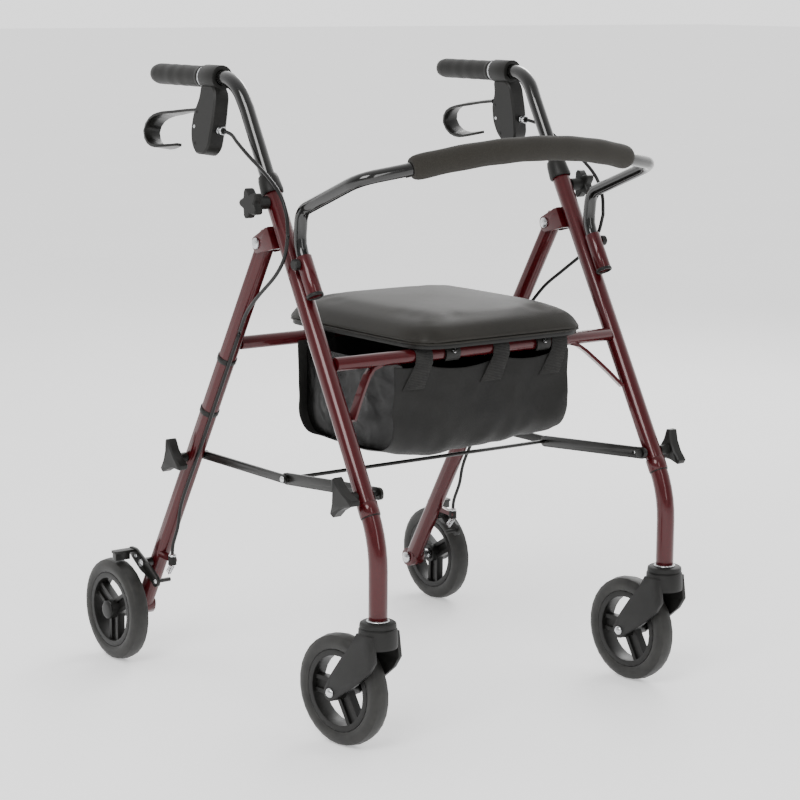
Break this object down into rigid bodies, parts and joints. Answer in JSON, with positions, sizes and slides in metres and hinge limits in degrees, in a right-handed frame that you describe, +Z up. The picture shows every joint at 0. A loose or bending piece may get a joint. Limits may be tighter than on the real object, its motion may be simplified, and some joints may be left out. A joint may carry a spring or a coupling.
{
  "type": "rollator walker",
  "caption": "Folding rollator walker with swivel front casters, a padded seat over a storage bag, a padded backrest bar, height-adjustable handles and loop brakes.",
  "frame": {"origin": "on the floor under the middle of the walker's bounding box", "axes": "+Z up, -Y forward towards the casters, +X to the user's left"},
  "size_m": [0.6414, 0.6908, 0.8848],
  "materials": {
    "burgundy_steel": "metallic gloss",
    "black_tube": "gloss",
    "black_steel": "satin",
    "black_plastic": "satin",
    "grip_rubber": "matt",
    "rim_plastic": "satin",
    "tyre_rubber": "matt",
    "bright_steel": "polished",
    "cable_sheath": "gloss",
    "seat_vinyl": "soft grained",
    "foam": "matt",
    "bag_nylon": "woven"
  },
  "bodies": {
    "front_frame": {"front_rail": "burgundy_steel", "storage_bag": "bag_nylon", "front_leg_right": "burgundy_steel", "leg_collar_right": "black_plastic", "pivot_bracket_right": "burgundy_steel", "pivot_bolt_right": "bright_steel", "backrest_sleeve_right": "burgundy_steel", "upper_cable_right": "cable_sheath", "front_leg_left": "burgundy_steel", "leg_collar_left": "black_plastic", "pivot_bracket_left": "burgundy_steel", "pivot_bolt_left": "bright_steel", "backrest_sleeve_left": "burgundy_steel", "upper_cable_left": "cable_sheath"},
    "rear_frame": {"rear_rail": "burgundy_steel", "rear_leg_right": "burgundy_steel", "rear_axle_bolt_right": "bright_steel", "lower_cable_right": "cable_sheath", "rear_leg_left": "burgundy_steel", "rear_axle_bolt_left": "bright_steel", "lower_cable_left": "cable_sheath"},
    "seat": {"seat_pad": "seat_vinyl", "seat_board": "black_plastic"},
    "backrest": {"backrest_tube": "black_tube", "backrest_pad": "foam"},
    "brace_front": {"cross_rod": "black_steel", "brace_front_link_right": "black_steel", "brace_front_link_left": "black_steel"},
    "brace_rear": {"brace_rear_link_right": "black_steel", "brace_rear_link_left": "black_steel"},
    "handle_right": {"handle_tube_right": "black_tube", "hand_grip_right": "grip_rubber", "brake_housing_right": "black_plastic"},
    "brake_lever_right": {"brake_lever_right": "black_steel"},
    "star_knob_right": {"star_knob_right": "black_plastic"},
    "plunger_right": {"backrest_plunger_right": "black_plastic"},
    "brake_arm_right": {"brake_arm_right": "black_steel"},
    "rear_wheel_right": {"rear_tyre_right": "tyre_rubber", "rear_rim_right": "rim_plastic"},
    "caster_right": {"caster_fork_right": "black_plastic", "caster_axle_right": "bright_steel"},
    "caster_wheel_right": {"caster_tyre_right": "tyre_rubber", "caster_rim_right": "rim_plastic"},
    "brace_knob_front_right": {"brace_knob_front_right": "black_plastic"},
    "brace_knob_rear_right": {"brace_knob_rear_right": "black_plastic"},
    "handle_left": {"handle_tube_left": "black_tube", "hand_grip_left": "grip_rubber", "brake_housing_left": "black_plastic"},
    "brake_lever_left": {"brake_lever_left": "black_steel"},
    "star_knob_left": {"star_knob_left": "black_plastic"},
    "plunger_left": {"backrest_plunger_left": "black_plastic"},
    "brake_arm_left": {"brake_arm_left": "black_steel"},
    "rear_wheel_left": {"rear_tyre_left": "tyre_rubber", "rear_rim_left": "rim_plastic"},
    "caster_left": {"caster_fork_left": "black_plastic", "caster_axle_left": "bright_steel"},
    "caster_wheel_left": {"caster_tyre_left": "tyre_rubber", "caster_rim_left": "rim_plastic"},
    "brace_knob_front_left": {"brace_knob_front_left": "black_plastic"},
    "brace_knob_rear_left": {"brace_knob_rear_left": "black_plastic"}
  },
  "joints": [
    {"name": "frame_fold", "type": "hinge", "parent": "front_frame", "child": "rear_frame", "pos_m": [0, -0.06126, 0.651], "axis": [-1, 0, 0], "range_deg": [0, 34], "deforming": ["storage_bag"]},
    {"name": "seat_lift", "type": "hinge", "parent": "front_frame", "child": "seat", "pos_m": [0, -0.20278, 0.502], "axis": [1, 0, 0], "range_deg": [0, 88]},
    {"name": "backrest_lift", "type": "slide", "parent": "front_frame", "child": "backrest", "axis": [0, 0.4886, 0.8725], "range_m": [0, 0.04]},
    {"name": "brace_front_swing", "type": "hinge", "parent": "front_frame", "child": "brace_front", "pos_m": [0, -0.2873, 0.3425], "axis": [1, 0, 0], "range_deg": [0, 45.35]},
    {"name": "brace_rear_swing", "type": "hinge", "parent": "rear_frame", "child": "brace_rear", "pos_m": [0, 0.12558, 0.3264], "axis": [1, 0, 0], "range_deg": [-45.33, 0]},
    {"name": "handle_slide_right", "type": "slide", "parent": "front_frame", "child": "handle_right", "axis": [0, 0.4886, 0.8725], "range_m": [-0.0762, 0.0762], "deforming": ["upper_cable_right"]},
    {"name": "brake_squeeze_right", "type": "hinge", "parent": "handle_right", "child": "brake_lever_right", "pos_m": [-0.2652, 0.062, 0.82257], "axis": [0.9877, 0, -0.1564], "range_deg": [0, 14], "stiffness_Nm_per_rad": 1, "springref_deg": -14.32},
    {"name": "star_knob_turn_right", "type": "hinge", "parent": "front_frame", "child": "star_knob_right", "pos_m": [-0.29, -0.0829, 0.7075], "axis": [1, 0, 0], "continuous": true},
    {"name": "plunger_pull_right", "type": "slide", "parent": "front_frame", "child": "plunger_right", "axis": [-1, 0, 0], "range_m": [0, 0.006], "stiffness_N_per_m": 400, "springref_m": -0.004},
    {"name": "brake_apply_right", "type": "hinge", "parent": "rear_frame", "child": "brake_arm_right", "pos_m": [-0.281, 0.22597, 0.152], "axis": [1, 0, 0], "range_deg": [-2.35, 0]},
    {"name": "rear_wheel_spin_right", "type": "hinge", "parent": "rear_frame", "child": "rear_wheel_right", "pos_m": [-0.3017, 0.2696, 0.0762], "axis": [1, 0, 0], "continuous": true},
    {"name": "caster_swivel_right", "type": "hinge", "parent": "front_frame", "child": "caster_right", "pos_m": [-0.255, -0.3188, 0.181], "axis": [0, 0, 1], "continuous": true},
    {"name": "caster_wheel_spin_right", "type": "hinge", "parent": "caster_right", "child": "caster_wheel_right", "pos_m": [-0.26444, -0.25641, 0.0762], "axis": [0.9888, 0.1495, 0], "continuous": true},
    {"name": "brace_knob_front_turn_right", "type": "hinge", "parent": "front_frame", "child": "brace_knob_front_right", "pos_m": [-0.29, -0.2873, 0.3425], "axis": [1, 0, 0], "continuous": true},
    {"name": "brace_knob_rear_turn_right", "type": "hinge", "parent": "rear_frame", "child": "brace_knob_rear_right", "pos_m": [-0.29, 0.12558, 0.3264], "axis": [1, 0, 0], "continuous": true},
    {"name": "handle_slide_left", "type": "slide", "parent": "front_frame", "child": "handle_left", "axis": [0, 0.4886, 0.8725], "range_m": [-0.0762, 0.0762], "deforming": ["upper_cable_left"]},
    {"name": "brake_squeeze_left", "type": "hinge", "parent": "handle_left", "child": "brake_lever_left", "pos_m": [0.2652, 0.062, 0.82257], "axis": [0.9877, 0, 0.1564], "range_deg": [0, 14], "stiffness_Nm_per_rad": 1, "springref_deg": -14.32},
    {"name": "star_knob_turn_left", "type": "hinge", "parent": "front_frame", "child": "star_knob_left", "pos_m": [0.29, -0.0829, 0.7075], "axis": [1, 0, 0], "continuous": true},
    {"name": "plunger_pull_left", "type": "slide", "parent": "front_frame", "child": "plunger_left", "axis": [1, 0, 0], "range_m": [0, 0.006], "stiffness_N_per_m": 400, "springref_m": -0.004},
    {"name": "brake_apply_left", "type": "hinge", "parent": "rear_frame", "child": "brake_arm_left", "pos_m": [0.281, 0.22597, 0.152], "axis": [1, 0, 0], "range_deg": [-2.35, 0]},
    {"name": "rear_wheel_spin_left", "type": "hinge", "parent": "rear_frame", "child": "rear_wheel_left", "pos_m": [0.3017, 0.2696, 0.0762], "axis": [1, 0, 0], "continuous": true},
    {"name": "caster_swivel_left", "type": "hinge", "parent": "front_frame", "child": "caster_left", "pos_m": [0.255, -0.3188, 0.181], "axis": [0, 0, 1], "continuous": true},
    {"name": "caster_wheel_spin_left", "type": "hinge", "parent": "caster_left", "child": "caster_wheel_left", "pos_m": [0.25192, -0.25577, 0.0762], "axis": [0.9988, 0.0489, 0], "continuous": true},
    {"name": "brace_knob_front_turn_left", "type": "hinge", "parent": "front_frame", "child": "brace_knob_front_left", "pos_m": [0.29, -0.2873, 0.3425], "axis": [1, 0, 0], "continuous": true},
    {"name": "brace_knob_rear_turn_left", "type": "hinge", "parent": "rear_frame", "child": "brace_knob_rear_left", "pos_m": [0.29, 0.12558, 0.3264], "axis": [1, 0, 0], "continuous": true}
  ],
  "couplings": [
    {"joint": "brace_front_swing", "follows": "frame_fold", "ratio": 1.3192},
    {"joint": "brace_rear_swing", "follows": "frame_fold", "ratio": -1.3186},
    {"joint": "brake_apply_right", "follows": "brake_squeeze_right", "ratio": -0.16429},
    {"joint": "brake_apply_left", "follows": "brake_squeeze_left", "ratio": -0.16429}
  ]
}
